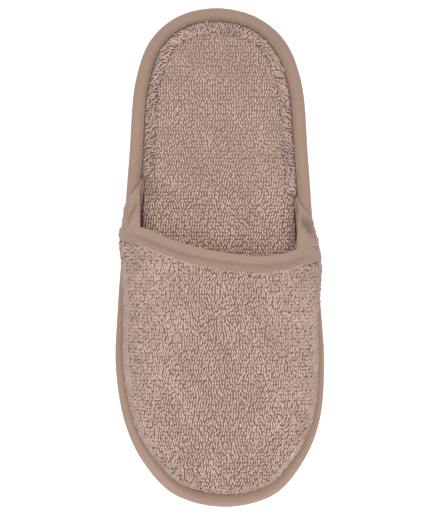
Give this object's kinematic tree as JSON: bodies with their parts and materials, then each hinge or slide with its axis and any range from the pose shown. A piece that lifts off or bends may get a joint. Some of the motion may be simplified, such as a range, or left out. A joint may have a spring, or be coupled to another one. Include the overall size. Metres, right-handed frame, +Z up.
{
  "type": "bath slipper",
  "caption": "Slip-on bath slipper for the right foot with a closed toe, an open heel, a padded towelling foot bed and upper, and cloth tape round the sole and throat.",
  "frame": {"origin": "on the floor, under the middle of the slipper's outline", "axes": "+Y from toe to heel along the length, +X to the big-toe side, +Z up"},
  "size_m": [0.1172, 0.28, 0.0522],
  "materials": {
    "towelling": "looped pile, matte",
    "tape_cloth": "fine plain weave, matte",
    "sole_foam": "matte foam with a fine tread"
  },
  "bodies": {
    "root": {"outsole": "sole_foam", "insole": "towelling", "sole_tape": "tape_cloth", "vamp": "towelling", "throat_tape": "tape_cloth"}
  },
  "joints": []
}
